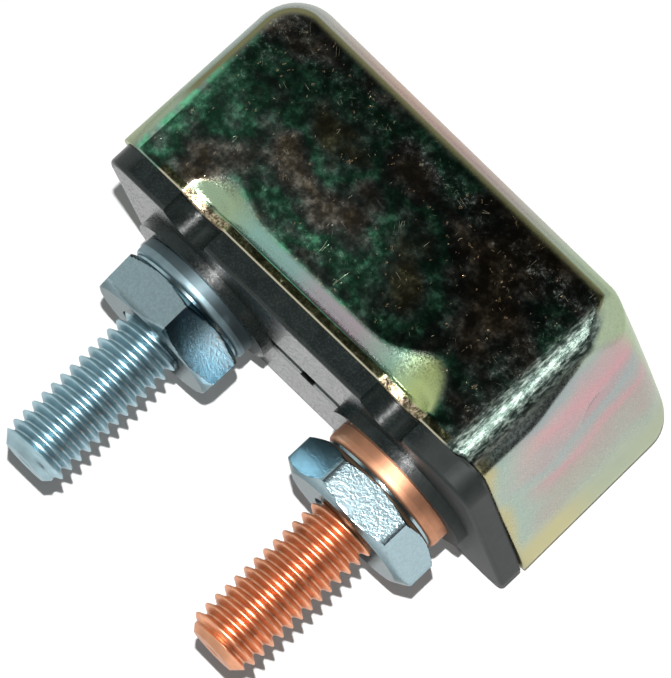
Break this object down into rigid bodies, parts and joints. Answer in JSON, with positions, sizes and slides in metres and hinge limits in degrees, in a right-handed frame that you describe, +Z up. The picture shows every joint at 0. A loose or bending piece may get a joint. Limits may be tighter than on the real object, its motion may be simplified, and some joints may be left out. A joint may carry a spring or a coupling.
{
  "type": "stud-mount circuit breaker",
  "caption": "Thermal circuit breaker in a drawn metal can on a moulded base, with threaded terminal studs that carry flanges and hexagon nuts.",
  "frame": {"origin": "middle of the part's box in plan, on the surface that it lies on", "axes": "+X from the zinc-plated stud to the copper-plated stud, -Y along both studs towards their tips, +Z up, away from the wide side that it lies on"},
  "size_m": [0.0324, 0.0318, 0.0181],
  "materials": {
    "can": "yellow chromate over zinc, glossy, with iridescent tints",
    "moulding": "smooth satin moulding",
    "zinc": "clear zinc plating, bluish",
    "copper": "copper plating",
    "nut_zinc": "clear zinc plating, bluish",
    "strap": "plain strip",
    "contact": "silver",
    "bimetal": "plain strip",
    "rivet": "plain",
    "paper": "insulating paper"
  },
  "bodies": {
    "root": {"cover": "can", "base": "moulding", "line_stud": "zinc", "load_stud": "copper", "line_nut": "nut_zinc", "load_nut": "nut_zinc", "line_strap": "strap", "fixed_contact": "contact", "load_bracket": "strap", "bimetal_blade": "bimetal", "moving_contact": "contact", "blade_rivet": "rivet", "liner": "paper"}
  },
  "joints": []
}
